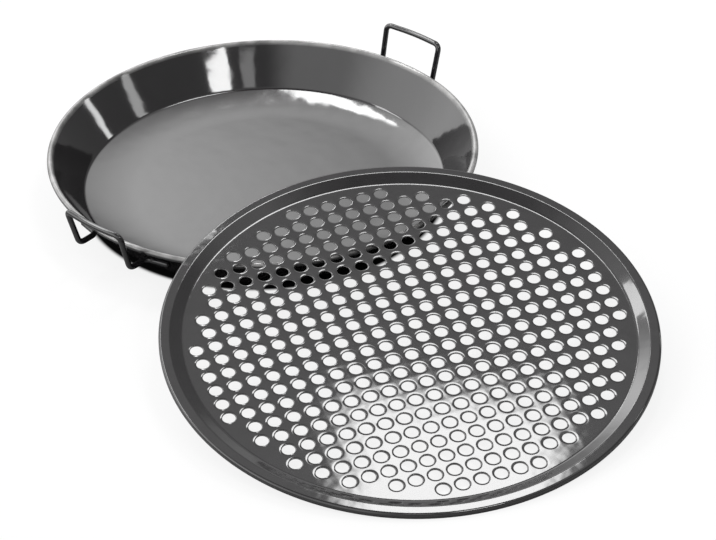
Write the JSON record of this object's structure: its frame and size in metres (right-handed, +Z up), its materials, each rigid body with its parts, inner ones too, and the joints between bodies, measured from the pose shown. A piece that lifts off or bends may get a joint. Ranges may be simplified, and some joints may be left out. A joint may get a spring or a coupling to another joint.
{
  "type": "pizza pan",
  "caption": "Deep round enamelled steel pan with a rolled rim and fixed wire handles, and a perforated pizza tray that leans on the rim and lifts off.",
  "frame": {"origin": "centre of the deep pan's underside, on the surface that it stands on", "axes": "+Z up along the pan's axis, +X from the axis towards the right handle, +Y square to the line of the handles and away from the tray"},
  "size_m": [0.5305, 0.6584, 0.066],
  "materials": {
    "pan_enamel": "gloss vitreous enamel, dark grey",
    "handle_enamel": "gloss vitreous enamel, near black",
    "tray_enamel": "gloss vitreous enamel, dark grey"
  },
  "bodies": {
    "pan": {"deep_pan": "pan_enamel", "right_handle": "handle_enamel", "left_handle": "handle_enamel"},
    "tray": {"pizza_tray": "tray_enamel"}
  },
  "joints": [
    {"name": "tray_lift", "type": "slide", "parent": "pan", "child": "tray", "axis": [0, 0, 1], "range_m": [0, 0.15]}
  ]
}
